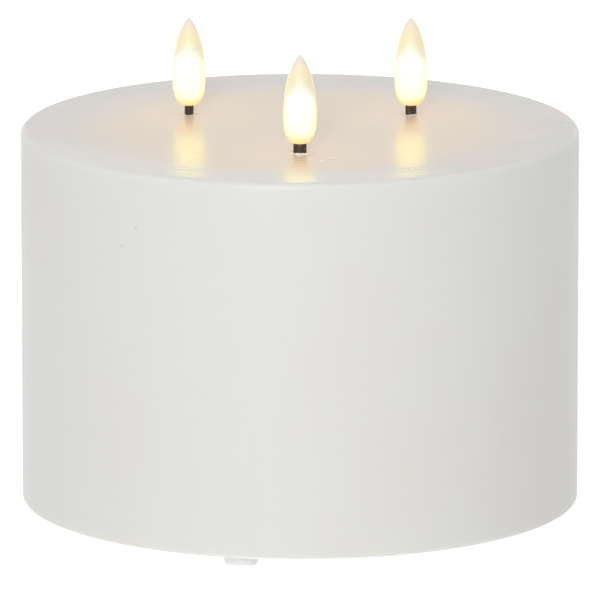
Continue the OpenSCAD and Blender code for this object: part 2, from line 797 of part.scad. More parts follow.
wax_shell();
base_tray();
battery_door();
door_latch();
foot(0);  // foot_1
foot(1);  // foot_2
foot(2);  // foot_3
cell_can(1);  // cell_1_can
cell_jacket(1);  // cell_1_jacket
cell_can(2);  // cell_2_can
cell_jacket(2);  // cell_2_jacket
front_contact(cell_x);  // negative_contact
contact_spring(1);  // negative_spring
front_contact(-cell_x);  // positive_contact
bridge_contact();
contact_spring(2);  // bridge_spring
led_carrier();
carrier_screws();
control_board();
board_screws();
control_chip();
capacitor();
resistors();
switch_body();
switch_pins();
switch_knob();
flame(0);  // flame_1
flame(1);  // flame_2
flame(2);  // flame_3
led(0);  // led_1
led(1);  // led_2
led(2);  // led_3
led_legs(0);  // led_legs_1
led_legs(1);  // led_legs_2
led_legs(2);  // led_legs_3
wick(0);  // wick_1
wick(1);  // wick_2
wick(2);  // wick_3
led_lead(0, 1);  // led_lead_red_1
led_lead(1, 1);  // led_lead_red_2
led_lead(2, 1);  // led_lead_red_3
led_lead(0, -1);  // led_lead_black_1
led_lead(1, -1);  // led_lead_black_2
led_lead(2, -1);  // led_lead_black_3
battery_lead(-cell_x, battery_pads[1]);  // battery_lead_red
battery_lead(cell_x, battery_pads[0]);  // battery_lead_black
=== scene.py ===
import math
import bmesh
import bpy
from mathutils import Matrix, Vector
from mathutils.bvhtree import BVHTree


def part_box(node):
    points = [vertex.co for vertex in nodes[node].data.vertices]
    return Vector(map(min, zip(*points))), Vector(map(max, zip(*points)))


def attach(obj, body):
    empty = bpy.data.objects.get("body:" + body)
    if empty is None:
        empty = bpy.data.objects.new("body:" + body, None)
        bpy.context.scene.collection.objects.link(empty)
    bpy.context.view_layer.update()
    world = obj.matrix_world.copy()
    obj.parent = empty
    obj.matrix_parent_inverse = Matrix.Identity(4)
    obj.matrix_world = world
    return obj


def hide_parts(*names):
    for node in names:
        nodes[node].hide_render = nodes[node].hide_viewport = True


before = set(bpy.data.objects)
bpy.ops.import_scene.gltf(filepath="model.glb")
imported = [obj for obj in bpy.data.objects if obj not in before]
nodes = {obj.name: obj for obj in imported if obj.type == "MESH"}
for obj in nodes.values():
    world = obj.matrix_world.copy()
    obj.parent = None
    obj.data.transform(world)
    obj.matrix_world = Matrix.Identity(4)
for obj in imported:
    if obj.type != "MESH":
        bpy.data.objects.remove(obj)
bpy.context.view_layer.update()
scene = bpy.context.scene
MM = 0.001

# ---- Camera and image points ---------------------------------------------------------
# A long lens 2.9 m away looks 12 degrees down on the candle. The points are pixels of the
# photograph's 600 x 589 frame: the edges, the flames, the wicks, the foot and small marks.
FRAME_W, FRAME_H = 600, 589
CAMERA_PLACE = (0, -2.861, 0.68496)
CAMERA_TILT = math.radians(77.668)
CAMERA_LENS, SENSOR = 651.9, 36
POINTS = {
    "left_edge_x": 21.6,
    "right_edge_x": 578.4,
    "top_y": 17.5,
    "bottom_y": 568.6,
    "back_rim_y": 74.2,
    "front_tip": (300.2, 54.3),
    "left_tip": (190.2, 19.5),
    "right_tip": (412.2, 19.2),
    "front_wick_foot": (302.4, 154.2),
    "left_wick_foot": (191.0, 116.2),
    "right_wick_foot": (413.2, 116.0),
    "foot": (240.1, 563.7),
    "side_fleck": (122, 246),
    "side_fleck_faint": (136, 228),
    "top_fleck": (562, 123),
    "top_crumb_a": (321, 161),
    "top_crumb_b": (331, 159),
    "top_nick_left": (194, 152),
    "top_nick_right": (409, 169),
}


def put(name, data):
    """A new object in the scene, at the origin."""
    made = bpy.data.objects.new(name, data)
    scene.collection.objects.link(made)
    return made


camera = put("camera", bpy.data.cameras.new("camera"))
camera.location = CAMERA_PLACE
camera.rotation_euler = (CAMERA_TILT, 0, 0)
camera.data.sensor_fit = "AUTO"
camera.data.sensor_width = SENSOR
camera.data.lens = CAMERA_LENS
camera.data.clip_start, camera.data.clip_end = 0.05, 20
scene.camera = camera
scene.view_settings.view_transform = "Standard"
bpy.context.view_layer.update()


def ray_to(x, y):
    """The camera's place and the direction in which it sees a point of the photograph."""
    long_side = max(FRAME_W, FRAME_H)
    shift_x, shift_y = camera.data.shift_x, camera.data.shift_y
    aim = Vector((
        x - FRAME_W / 2 + shift_x * long_side,
        FRAME_H / 2 - y + shift_y * long_side,
        -long_side * camera.data.lens / camera.data.sensor_width,
    ))
    return camera.location.copy(), (camera.matrix_world.to_3x3() @ aim).normalized()


def surface_at(name, tree):
    """Where the ray of a named point meets a surface, or the surface's place nearest the ray."""
    start, way = ray_to(*POINTS[name])
    place = tree.ray_cast(start, way)[0]
    if place is None:
        reach = start.length
        for _ in range(20):
            place = tree.find_nearest(start + way * reach)[0]
            reach = (place - start).dot(way)
    return place


def colour(hex_code):
    """An sRGB hex colour as linear RGBA."""
    parts = [int(hex_code[i:i + 2], 16) / 255 for i in (1, 3, 5)]
    return tuple(c / 12.92 if c <= 0.04045 else ((c + 0.055) / 1.055) ** 2.4 for c in parts) + (1,)


def out_of(source):
    """The first output that a node has in use. A socket or a constant stays as it is."""
    if isinstance(source, bpy.types.Node):
        source = next(socket for socket in source.outputs if socket.enabled)
    return source


def add(tree, kind, sockets=None, stops=None, **settings):
    """Adds one node. Its kind may leave out ShaderNode, GeometryNode or FunctionNode, and a
    socket's value is a constant, an output socket or a node."""
    front = next(front for front in ("ShaderNode", "GeometryNode", "FunctionNode", "")
                 if hasattr(bpy.types, front + kind))
    made = tree.nodes.new(front + kind)
    for name, value in settings.items():
        setattr(made, name, value)
    for name, value in (sockets or {}).items():
        value = out_of(value)
        if isinstance(value, bpy.types.NodeSocket):
            tree.links.new(value, made.inputs[name])
        else:
            made.inputs[name].default_value = value
    if stops:
        ramp = made.color_ramp.elements
        while len(ramp) < len(stops):
            ramp.new(0.5)
        for element, (place, shade) in zip(ramp, stops):
            element.position, element.color = place, shade
    return made


def finish_named(name, shader="BsdfPrincipled", **constants):
    """A new material with one shader on its output. Constants stand on the shader's own sockets."""
    material = bpy.data.materials.new(name)
    material.use_nodes = True
    tree = material.node_tree
    tree.nodes.clear()
    made = add(tree, shader, {key.replace("_", " "): value for key, value in constants.items()})
    add(tree, "OutputMaterial", {"Surface": made})
    return material, tree, made


def lay(tree, source, made, name):
    """Links an output to a named socket of a node."""
    tree.links.new(out_of(source), made.inputs[name])


# ---- Table, backdrop and lamps -------------------------------------------------------
# A pale table runs out to a white room. One tall soft box stands in front, a little to the
# left, and a weak one below lights the underside when it is looked at.
TABLE_SIZE, TABLE_DROP, TABLE_GLOW = 3.0, 0.02 * MM, 0.55
TABLE_SHADE, ROOM_SHADE = colour("#EBEBEA"), colour("#FFFFFF")
table_mesh = bpy.data.meshes.new("table")
reach = TABLE_SIZE / 2
table_mesh.from_pydata(
    [(x, y, -TABLE_DROP) for x, y in ((-reach, -reach), (reach, -reach), (reach, reach),
                                      (-reach, reach))], [], [(0, 1, 2, 3)])
table = put("table", table_mesh)


def to_the_eye(tree):
    """1 for camera, glossy and transmission rays, and 0 for the rays that light things."""
    rays = add(tree, "LightPath")
    seen = add(tree, "Math", {0: rays.outputs["Is Camera Ray"],
                              1: rays.outputs["Is Glossy Ray"]}, operation="MAXIMUM")
    return add(tree, "Math", {0: seen, 1: rays.outputs["Is Transmission Ray"]},
               operation="MAXIMUM")


# Painted board: matt and pale. To the camera it also glows, so that it burns out to white
# round the object's shadow. From below it is clear, so that the underside can be looked at.
painted_board, tree, matt = finish_named(
    "painted_board", "BsdfDiffuse", Color=TABLE_SHADE, Roughness=0.6)
seen_glow = add(tree, "Math", {0: to_the_eye(tree), 1: TABLE_GLOW}, operation="MULTIPLY")
glow = add(tree, "Emission", {"Color": ROOM_SHADE, "Strength": seen_glow})
lit = add(tree, "AddShader", {0: matt, 1: glow})
below = add(tree, "NewGeometry").outputs["Backfacing"]
clear = add(tree, "BsdfTransparent")
sides = add(tree, "MixShader", {0: below, 1: lit, 2: clear})
lay(tree, sides, tree.nodes["Material Output"], "Surface")
table_mesh.materials.append(painted_board)

room = bpy.data.worlds.new("room")
scene.world = room
room.use_nodes = True
tree = room.node_tree
tree.nodes.clear()
# Off camera the room is brighter at the horizon than overhead, dimmer to both sides, and
# dimmest to the right.
AT_HORIZON, OVERHEAD, TO_SIDES, TO_RIGHT = 0.77, 0.63, -0.14, -0.04
way = add(tree, "TexCoord").outputs["Generated"]
axes = add(tree, "SeparateXYZ", {0: way})
dim = add(tree, "MapRange", {0: axes.outputs[2], 3: AT_HORIZON, 4: OVERHEAD})
sideways = add(tree, "Math", {0: axes.outputs[0], 1: TO_SIDES, 2: TO_RIGHT},
               operation="MULTIPLY_ADD")
dim = add(tree, "Math", {0: axes.outputs[0], 1: sideways, 2: dim}, operation="MULTIPLY_ADD")
room_light = add(tree, "Mix", {0: to_the_eye(tree), 2: dim, 3: 1.0})
backdrop = add(tree, "Background", {"Color": ROOM_SHADE, "Strength": room_light})
add(tree, "OutputWorld", {"Surface": backdrop})

# name: (place, width, height, watts). Both face the middle of the candle.
LAMPS = {
    "key_box": ((-0.42, -2.62, 0.78), 0.5, 1.4, 24.0),
    "under_box": ((0.0, 0.0, -1.0), 0.28, 0.28, 4.0),
}
LAMP_AIM = Vector((0, 0, 0.05))
for name, (place, width, height, watts) in LAMPS.items():
    lamp = bpy.data.lights.new(name, "AREA")
    lamp.shape, lamp.size, lamp.size_y, lamp.energy = "RECTANGLE", width, height, watts
    holder = put(name, lamp)
    holder.location = place
    aim = LAMP_AIM - Vector(place)
    holder.rotation_euler = aim.to_track_quat("-Z", "Y").to_euler()
# The table doesn't stop the lamp under it.
stopped_by = bpy.data.collections.new("stopped_by")
stopped_by.objects.link(table)
stopped_by.collection_objects[0].light_linking.link_state = "EXCLUDE"
scene.objects["under_box"].light_linking.blocker_collection = stopped_by

# ---- Base tray -----------------------------------------------------------------------
# One white ABS moulding that closes the foot of the wax: a round plate with a centring
# ring, the box for the cells, and bosses for the board and the carrier. It is pressed in.
plate_low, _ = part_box("base_tray")


def dress(material, *names):
    """Gives CAD nodes their finish."""
    for name in names:
        nodes[name].material_slots[0].material = material


def two_tone(name, pale, dark, patch, grain, depth, stretch=(1, 1, 1), **constants):
    """A finish in two near shades, with patches and a surface grain of real sizes in metres."""
    material, tree, shader = finish_named(name, **constants)
    place = add(tree, "TexCoord").outputs["Object"]
    drawn = add(tree, "Mapping", {"Vector": place, "Scale": stretch})
    patches = add(tree, "TexNoise", {"Vector": drawn, "Scale": 1 / patch, "Detail": 3.0})
    shades = add(tree, "MapRange", {0: patches, 1: 0.35, 2: 0.65})
    skin = add(tree, "Mix", {0: shades, 6: colour(pale), 7: colour(dark)}, data_type="RGBA")
    lay(tree, skin, shader, "Base Color")
    fine = add(tree, "TexNoise", {"Vector": drawn, "Scale": 1 / grain, "Detail": 2.0})
    bump = add(tree, "Bump", {"Height": fine, "Strength": 0.8, "Distance": depth})
    lay(tree, bump, shader, "Normal")
    return material, tree, shader, place, skin


# ABS with a spark-eroded grain of 0.5 mm: matt white, faintly warm, a soft sheen at low angles.
spark_eroded_abs, tree, abs_skin, place, _ = two_tone(
    "spark_eroded_abs", "#F3F3F0", "#EFEEEA", 18 * MM, 0.5 * MM, 0.03 * MM,
    IOR=1.54, Roughness=0.5)
# Moulding dulls towards the rim, where the plastic ran last.
axes = add(tree, "SeparateXYZ", {0: place})
flat = add(tree, "CombineXYZ", {0: axes.outputs[0], 1: axes.outputs[1]})
out = add(tree, "VectorMath", {0: flat}, operation="LENGTH")
lay(tree, add(tree, "MapRange", {0: out, 1: 20 * MM, 2: 70 * MM, 3: 0.44, 4: 0.56}),
    abs_skin, "Roughness")
dress(spark_eroded_abs, "base_tray")

# Raised words beside the switch, cut into the mould, 0.23 mm high and read from below.
WORD_HIGH, WORD_PROUD, WORD_SOFT = 2.6 * MM, 0.23 * MM, 0.06 * MM
SIZE_BY_CAPITAL = 1.4
knob_low, knob_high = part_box("switch_knob")
switch_x = (knob_low.x + knob_high.x) / 2
WORDS = {"OFF": (switch_x, -13.0 * MM), "ON": (switch_x + 5.6 * MM, 0.0),
         "TIMER": (switch_x, 14.5 * MM)}
seen_from_below = Matrix(((0, 1, 0), (1, 0, 0), (0, 0, -1))).to_4x4()
gathered = bmesh.new()
for word, (x, y) in WORDS.items():
    text = bpy.data.curves.new(word, "FONT")
    text.body, text.size = word, WORD_HIGH * SIZE_BY_CAPITAL
    text.align_x, text.align_y = "CENTER", "CENTER"
    text.extrude, text.bevel_depth = WORD_PROUD - WORD_SOFT, WORD_SOFT
    text.space_character = 1.1
    holder = put(word, text)
    bpy.context.view_layer.update()
    letters = bpy.data.meshes.new_from_object(
        holder.evaluated_get(bpy.context.evaluated_depsgraph_get()))
    letters.transform(Matrix.Translation((x, y, plate_low.z)) @ seen_from_below)
    gathered.from_mesh(letters)
    bpy.data.objects.remove(holder)
bmesh.ops.remove_doubles(gathered, verts=gathered.verts, dist=0.001 * MM)
bmesh.ops.recalc_face_normals(gathered, faces=gathered.faces)
lettering = bpy.data.meshes.new("switch_lettering")
gathered.to_mesh(lettering)
gathered.free()
lettering.materials.append(spark_eroded_abs)
switch_lettering = put("switch_lettering", lettering)
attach(switch_lettering, "root")

# ---- Feet ----------------------------------------------------------------------------
# Three round bumpers of white silicone rubber, moulded with a domed edge and glued into
# dimples in the base. The rubber lets a little light through and picks up dust.
silicone_rubber, *_ = two_tone(
    "silicone_rubber", "#FCFCFE", "#F7F6F9", 3 * MM, 0.3 * MM, 0.004 * MM, IOR=1.41,
    Roughness=0.45, Subsurface_Weight=0.15, Subsurface_Scale=0.5 * MM)
dress(silicone_rubber, "foot_1", "foot_2", "foot_3")

# ---- Battery contacts ----------------------------------------------------------------
# Pressed plates and cone springs of nickel-plated steel, slid into the ends of the box.
# Drawn and stamped metal: fine lines along the strip, bright where the cells rub.
nickel_on_steel, tree, nickel, place, _ = two_tone(
    "nickel_on_steel", "#CFCAC0", "#B9B3A8", 4 * MM, 0.12 * MM, 0.006 * MM, (1, 1, 0.08),
    Metallic=1.0)
worn = add(tree, "TexNoise", {"Vector": place, "Scale": 1 / (3 * MM), "Detail": 4.0})
lay(tree, add(tree, "MapRange", {0: worn, 3: 0.18, 4: 0.42}), nickel, "Roughness")
dress(nickel_on_steel, "negative_contact", "negative_spring", "positive_contact",
      "bridge_contact", "bridge_spring")

# ---- Slide switch --------------------------------------------------------------------
# A small slide switch soldered under the board: a folded can of tinned steel, three brass
# pins, and a black acetal knob that reaches through the plate and has two thumb grooves.
# Tin over rolled steel: grey, soft gloss, faint rolling lines along the can.
tinned_steel, *_ = two_tone("tinned_steel", "#BDBFC1", "#A9ABAE", 3 * MM, 0.15 * MM, 0.006 * MM,
                            (1, 0.1, 1), Metallic=1.0, Roughness=0.36)
# Brass under a thin wipe of solder: yellow with grey patches.
wiped_brass, *_ = two_tone("wiped_brass", "#D9B873", "#B9B2A4", 0.7 * MM, 0.2 * MM, 0.01 * MM,
                           Metallic=1.0, Roughness=0.3)
# Acetal: black, slippery, a little paler where thumbs have polished its edges.
black_acetal, *_ = two_tone("black_acetal", "#1F1F20", "#2C2C2E", 1.5 * MM, 0.2 * MM, 0.01 * MM,
                            IOR=1.48, Roughness=0.34)
dress(tinned_steel, "switch_body")
dress(wiped_brass, "switch_pins")
dress(black_acetal, "switch_knob")

# ---- Control board -------------------------------------------------------------------
# A glass-epoxy board on two pegs and two screws. It carries the timer chip, a capacitor
# and three resistors, and the leads and the switch are soldered to it.
board_low, board_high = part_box("control_board")
chip_low, chip_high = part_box("control_chip")
cap_low, cap_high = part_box("capacitor")
part_low, part_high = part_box("resistors")


def far_from(tree, value, middle):
    """How far a value lies from a middle one."""
    off = add(tree, "Math", {0: value, 1: middle}, operation="SUBTRACT")
    return add(tree, "Math", {0: off}, operation="ABSOLUTE")


# Solder mask: glossy green, paler over copper tracks 0.5 mm wide. The cut edge shows tan glass.
MASK_TRACK, CUT_EDGE = colour("#2F8A52"), colour("#B7A36A")
TRACK_GRID, TRACK_HALF, MASK_THICK = 5 * MM, 0.25 * MM, 0.06 * MM
solder_mask, tree, mask, place, mask_shade = two_tone(
    "solder_mask", "#14562E", "#185F34", 6 * MM, 0.2 * MM, 0.004 * MM, IOR=1.52, Roughness=0.25)
grid = add(tree, "TexVoronoi", {"Vector": place, "Scale": 1 / TRACK_GRID},
           feature="DISTANCE_TO_EDGE", distance="EUCLIDEAN")
track = add(tree, "Math", {0: grid, 1: TRACK_HALF / TRACK_GRID}, operation="LESS_THAN")
tracked = add(tree, "Mix", {0: track, 6: mask_shade, 7: MASK_TRACK}, data_type="RGBA")
height = add(tree, "SeparateXYZ", {0: place}).outputs[2]
depth = far_from(tree, height, (board_low.z + board_high.z) / 2)
cut = add(tree, "Math", {0: depth, 1: (board_high.z - board_low.z) / 2 - MASK_THICK},
          operation="LESS_THAN")
lay(tree, add(tree, "Mix", {0: cut, 6: tracked, 7: CUT_EDGE},
              data_type="RGBA"), mask, "Base Color")
dress(solder_mask, "control_board")


def bright_ends(material_parts, middle, half_body, metal):
    """Turns a part to tinned metal beyond its body, along X."""
    _, tree, shader, place, skin = material_parts
    along = add(tree, "SeparateXYZ", {0: place}).outputs[0]
    end = add(tree, "Math", {0: far_from(tree, along, middle), 1: half_body},
              operation="GREATER_THAN")
    lay(tree, add(tree, "Mix", {0: end, 6: skin, 7: colour(metal)},
                  data_type="RGBA"), shader, "Base Color")
    lay(tree, end, shader, "Metallic")


# Chip: matt black epoxy with fine flow grain, and tinned legs.
moulded_epoxy = two_tone("moulded_epoxy", "#1B1C1E", "#26272A", 2 * MM, 0.12 * MM, 0.01 * MM,
                         IOR=1.57, Roughness=0.5)
bright_ends(moulded_epoxy, (chip_low.x + chip_high.x) / 2, 2.0 * MM, "#C9CACC")
dress(moulded_epoxy[0], "control_chip")
# Chip resistors: black glaze between tinned ends 0.4 mm long.
glazed_chip = two_tone("glazed_chip", "#202022", "#2E2E31", 0.6 * MM, 0.1 * MM, 0.004 * MM,
                       IOR=1.5, Roughness=0.3)
bright_ends(glazed_chip, (part_low.x + part_high.x) / 2, 0.65 * MM, "#D3D4D6")
dress(glazed_chip[0], "resistors")
# Capacitor: a dark blue shrink sleeve with a pale stripe for its negative leg, open over
# the bright aluminium end with its cross-shaped vent.
STRIPE, CAN_END = colour("#B9C3D2"), colour("#CDD0D3")
STRIPE_DEEP, CAN_BARE = 0.55 * MM, 0.45 * MM
capacitor_sleeve, tree, sleeve_skin, place, sleeve_shade = two_tone(
    "capacitor_sleeve", "#1E2C4F", "#243459", 3 * MM, 0.3 * MM, 0.005 * MM, IOR=1.53,
    Roughness=0.28)
axes = add(tree, "SeparateXYZ", {0: place})
facing = add(tree, "Math", {0: axes.outputs[0], 1: cap_low.x + STRIPE_DEEP},
             operation="LESS_THAN")
striped = add(tree, "Mix", {0: facing, 6: sleeve_shade, 7: STRIPE}, data_type="RGBA")
bare = add(tree, "Math", {0: axes.outputs[2], 1: cap_high.z - CAN_BARE}, operation="GREATER_THAN")
lay(tree, add(tree, "Mix", {0: bare, 6: striped, 7: CAN_END},
              data_type="RGBA"), sleeve_skin, "Base Color")
lay(tree, bare, sleeve_skin, "Metallic")
dress(capacitor_sleeve, "capacitor")
# Screws: zinc plate over steel, dull grey with a faint blue and yellow cast.
zinc_plate, *_ = two_tone("zinc_plate", "#B4B8BC", "#A9A698", 1.2 * MM, 0.15 * MM, 0.01 * MM,
                          Metallic=1.0, Roughness=0.38)
dress(zinc_plate, "board_screws")


def new_tree(name, **inputs):
    """A geometry tree with a number for each size, and the sockets that give them."""
    tree = bpy.data.node_groups.new(name, "GeometryNodeTree")
    face = tree.interface
    for label, value in inputs.items():
        kind = {int: "NodeSocketInt", float: "NodeSocketFloat"}[type(value)]
        face.new_socket(label, in_out="INPUT", socket_type=kind).default_value = value
    face.new_socket("Finish", in_out="INPUT", socket_type="NodeSocketMaterial")
    face.new_socket("Geometry", in_out="OUTPUT", socket_type="NodeSocketGeometry")
    return tree, tree.nodes.new("NodeGroupInput").outputs


def close_tree(tree, geometry):
    """Ends a geometry tree: instances made real, and the finish on every face."""
    given = next(n for n in tree.nodes if n.type == "GROUP_INPUT")
    real = add(tree, "RealizeInstances", {"Geometry": geometry})
    painted = add(tree, "SetMaterial", {"Geometry": real, "Material": given.outputs["Finish"]})
    add(tree, "NodeGroupOutput", {"Geometry": painted})


def grown(name, tree, finish, **sizes):
    """Runs a closed tree on an empty mesh, with these sizes, and returns the plain result."""
    holder = put(name, bpy.data.meshes.new(name))
    modifier = holder.modifiers.new("grow", "NODES")
    modifier.node_group = tree
    values = {"Finish": finish, **sizes}
    for item in tree.interface.items_tree:
        if item.in_out == "INPUT" and item.name in values:
            modifier[item.identifier] = values[item.name]
    bpy.context.view_layer.update()
    evaluated = holder.evaluated_get(bpy.context.evaluated_depsgraph_get())
    mesh = bpy.data.meshes.new_from_object(evaluated)
    holder.modifiers.clear()
    holder.data = mesh
    return holder


def spread(tree, spots):
    """A point at each of these spots, which are constants or nodes."""
    where = add(tree, "IndexSwitch", data_type="VECTOR")
    while len(where.index_switch_items) < len(spots):
        where.index_switch_items.new()
    lay(tree, add(tree, "InputIndex"), where, "Index")
    for number, spot in enumerate(spots, 1):
        if isinstance(spot, bpy.types.Node):
            lay(tree, spot, where, number)
        else:
            where.inputs[number].default_value = spot
    line = add(tree, "MeshLine", {"Count": len(spots)})
    return add(tree, "SetPosition", {"Geometry": line, "Position": where})


def smooth_but(tree, geometry, crease):
    """Smooth shading, kept sharp where faces meet at more than the crease angle."""
    angle = add(tree, "InputMeshEdgeAngle")
    soft = add(tree, "Compare", {0: angle, 1: crease}, operation="LESS_THAN")
    faces = add(tree, "SetShadeSmooth", {"Geometry": geometry}, domain="FACE")
    return add(tree, "SetShadeSmooth", {"Geometry": faces, "Shade Smooth": soft}, domain="EDGE")


def strewn(name, places, lump_size, squashed, lumpy, seed, finish):
    """Small lumps, one at each place, each turned by the seed."""
    tree, size = new_tree(name + "_tree", Lump=lump_size, Squashed=squashed, Lumpy=lumpy,
                          Seed=seed)
    lump = add(tree, "MeshIcoSphere", {"Radius": size["Lump"], "Subdivisions": 3})
    spot = add(tree, "InputPosition")
    rough = add(tree, "TexNoise", {"Vector": spot, "Scale": 1 / lump_size})
    rough = add(tree, "Math", {0: rough, 1: -0.5}, operation="ADD")
    rough = add(tree, "Math", {0: rough, 1: size["Lumpy"], 2: 1.0}, operation="MULTIPLY_ADD")
    shaped = add(tree, "VectorMath", {0: spot, "Scale": rough}, operation="SCALE")
    lump = add(tree, "SetPosition", {"Geometry": lump, "Position": shaped})
    turn = add(tree, "RandomValue", {0: (0, 0, 0), 1: (0, 0, 6.28),
                                     "Seed": size["Seed"]}, data_type="FLOAT_VECTOR")
    flat = add(tree, "CombineXYZ", {0: 1.0, 1: 0.8, 2: size["Squashed"]})
    lumps = add(tree, "InstanceOnPoints", {
        "Points": spread(tree, places), "Instance": lump, "Rotation": turn, "Scale": flat})
    close_tree(tree, add(tree, "SetShadeSmooth", {"Geometry": lumps}))
    return grown(name, tree, finish)


def low_end(name):
    """The middle of a CAD node's lowest ring of points."""
    spots = [v.co for v in nodes[name].data.vertices]
    lowest = min(v.z for v in spots)
    ring = [v for v in spots if v.z < lowest + 0.5 * MM]
    return sum(ring, Vector()) / len(ring)


# Solder: a bright cone that has crept up each lead and pin.
soft_solder, *_ = two_tone("soft_solder", "#C6C7C9", "#ABACAF", 0.6 * MM, 0.3 * MM, 0.02 * MM,
                           Metallic=1.0, Roughness=0.27)
leads = [name for name in nodes if "_lead_" in name]
SOLDER_SIZE = 0.95 * MM
lead_ends = [low_end(name) for name in sorted(leads)]
joints = [Vector((end.x, end.y, board_high.z)) for end in lead_ends]
pin_low, pin_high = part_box("switch_pins")
pin_reach = (pin_high.y - pin_low.y) / 2 - (pin_high.x - pin_low.x) / 2
for side in (-1, 0, 1):
    joints.append(Vector(((pin_low.x + pin_high.x) / 2, side * pin_reach, board_high.z)))
solder_joints = strewn("solder_joints", joints, SOLDER_SIZE, 0.7, 0.15, 5, soft_solder)
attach(solder_joints, "root")

# ---- LED carrier ---------------------------------------------------------------------
# A three-armed ABS spider screwed to the roof of the battery box. Its tubes hold the wicks
# upright and their tops touch the wax. Left in the plastic's own cream, with flow marks.
natural_abs, *_ = two_tone("natural_abs", "#E4E0D2", "#D8D3C2", 14 * MM, 0.6 * MM, 0.02 * MM,
                           IOR=1.54, Roughness=0.42, Subsurface_Weight=0.2,
                           Subsurface_Scale=1.5 * MM)
dress(natural_abs, "led_carrier")
dress(zinc_plate, "carrier_screws")

# ---- LEDs and leads ------------------------------------------------------------------
# Three warm-white 3 mm LEDs stand on long tinned legs inside the wick sleeves. PVC leads
# run from the legs and from the battery contacts to the board.
LED_WHITE, LED_AMBER = colour("#FFF4D6"), colour("#FFCB6B")
led_low, led_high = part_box("led_1")
diffused_epoxy, tree, lens = finish_named(
    "diffused_epoxy", IOR=1.53, Roughness=0.2, Transmission_Weight=0.3, Emission_Strength=2.5)
place = add(tree, "TexCoord").outputs["Object"]
tall = add(tree, "SeparateXYZ", {0: place}).outputs[2]
haze = add(tree, "TexNoise", {"Vector": place, "Scale": 1 / (1 * MM), "Detail": 2.0})
hot = add(tree, "MapRange", {0: tall, 1: led_low.z, 2: led_high.z})
hot = add(tree, "Math", {0: haze, 1: 0.3, 2: hot}, operation="MULTIPLY_ADD")
glow = add(tree, "Mix", {0: hot, 6: LED_AMBER, 7: LED_WHITE}, data_type="RGBA")
lay(tree, glow, lens, "Base Color")
lay(tree, glow, lens, "Emission Color")
dress(diffused_epoxy, "led_1", "led_2", "led_3")
# Solder-dipped legs: bright grey with slight runs along them.
dipped_steel, *_ = two_tone("dipped_steel", "#C4C5C7", "#AEAFB1", 2 * MM, 0.2 * MM, 0.01 * MM,
                            (1, 1, 0.1), Metallic=1.0, Roughness=0.3)
dress(dipped_steel, "led_legs_1", "led_legs_2", "led_legs_3")
# PVC insulation: smooth, softly glossy, the red slightly uneven where it was coiled.
red_pvc, *_ = two_tone("red_pvc", "#B3201C", "#9C1A18", 9 * MM, 0.5 * MM, 0.01 * MM, IOR=1.53,
                       Roughness=0.33)
black_pvc, *_ = two_tone("black_pvc", "#1D1D1F", "#29292B", 9 * MM, 0.5 * MM, 0.01 * MM,
                         IOR=1.53, Roughness=0.36)
dress(red_pvc, *[name for name in leads if "red" in name])
dress(black_pvc, *[name for name in leads if "black" in name])

# ---- Wicks ---------------------------------------------------------------------------
# Flat heat-shrink sleeves over the LED legs, dark brown, wrinkled and a little uneven, and
# pressed into the holes in the wax. The flame's glow on the top of each one is painted
# into its colour.
wick_low, wick_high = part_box("wick_1")
WICK_WIDE, WICK_THICK = wick_high.x - wick_low.x, wick_high.y - wick_low.y
WICK_TURNS = (0, math.radians(45), math.radians(90))
WICK_WRINKLE, WICK_FOLD, WICK_GLOWS = 0.16 * MM, 1.1 * MM, (0.5 * MM, 0.1 * MM)
wick_places = [sum(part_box(f"wick_{n}"), Vector()) / 2 for n in (1, 2, 3)]
WICK_DUSTY, WICK_GLOW = colour("#75655F"), colour("#6B4A34")
heat_shrink, tree, sleeve, place, wick_shade = two_tone(
    "heat_shrink", "#2E2220", "#3A2B28", 1.5 * MM, 0.3 * MM, 0.03 * MM, IOR=1.5, Roughness=0.5)
blotch = add(tree, "TexNoise", {"Vector": place, "Scale": 1 / (1.0 * MM), "Detail": 5.0,
                                "Roughness": 0.7})
dusty = add(tree, "MapRange", {0: blotch, 1: 0.56, 2: 0.72, 4: 0.8})
skin = add(tree, "Mix", {0: dusty, 6: wick_shade, 7: WICK_DUSTY}, data_type="RGBA")
tall = add(tree, "SeparateXYZ", {0: place}).outputs[2]
# Painted glow of the flame's light on the top of the sleeve.
painted_flame_glow = add(tree, "MapRange", {0: tall, 1: wick_high.z - WICK_GLOWS[0],
                                2: wick_high.z - WICK_GLOWS[1]})
lay(tree, add(tree, "Mix", {0: painted_flame_glow, 6: skin, 7: WICK_GLOW},
              data_type="RGBA"), sleeve, "Base Color")

tree, size = new_tree("shrunk_sleeve", Wide=WICK_WIDE, Thick=WICK_THICK, Foot=wick_low.z,
                      Top=wick_high.z, Turn=0.0, X=0.0, Y=0.0, Wrinkle=WICK_WRINKLE,
                      Around=40, Rings=90)
tall = add(tree, "Math", {0: size["Top"], 1: size["Foot"]}, operation="SUBTRACT")
rod = add(tree, "MeshCylinder", {"Vertices": size["Around"], "Radius": 0.5,
                                 "Side Segments": size["Rings"], "Depth": tall})
oval = add(tree, "CombineXYZ", {0: size["Wide"], 1: size["Thick"], 2: 1.0})
turn = add(tree, "CombineXYZ", {2: size["Turn"]})
mid = add(tree, "Math", {0: tall, 1: 0.5, 2: size["Foot"]}, operation="MULTIPLY_ADD")
stand = add(tree, "CombineXYZ", {0: size["X"], 1: size["Y"], 2: mid})
rod = add(tree, "Transform", {"Geometry": rod, "Scale": oval, "Rotation": turn,
                              "Translation": stand})
spot = add(tree, "InputPosition")
folds = add(tree, "TexNoise", {"Vector": spot, "Scale": 1 / WICK_FOLD, "Detail": 3.0})
dent = add(tree, "Math", {0: folds, 1: -0.75}, operation="ADD")
dent = add(tree, "Math", {0: dent, 1: size["Wrinkle"]}, operation="MULTIPLY")
dent = add(tree, "Math", {0: dent, 1: 0.0}, operation="MINIMUM")
push = add(tree, "VectorMath", {0: add(tree, "InputNormal"), "Scale": dent}, operation="SCALE")
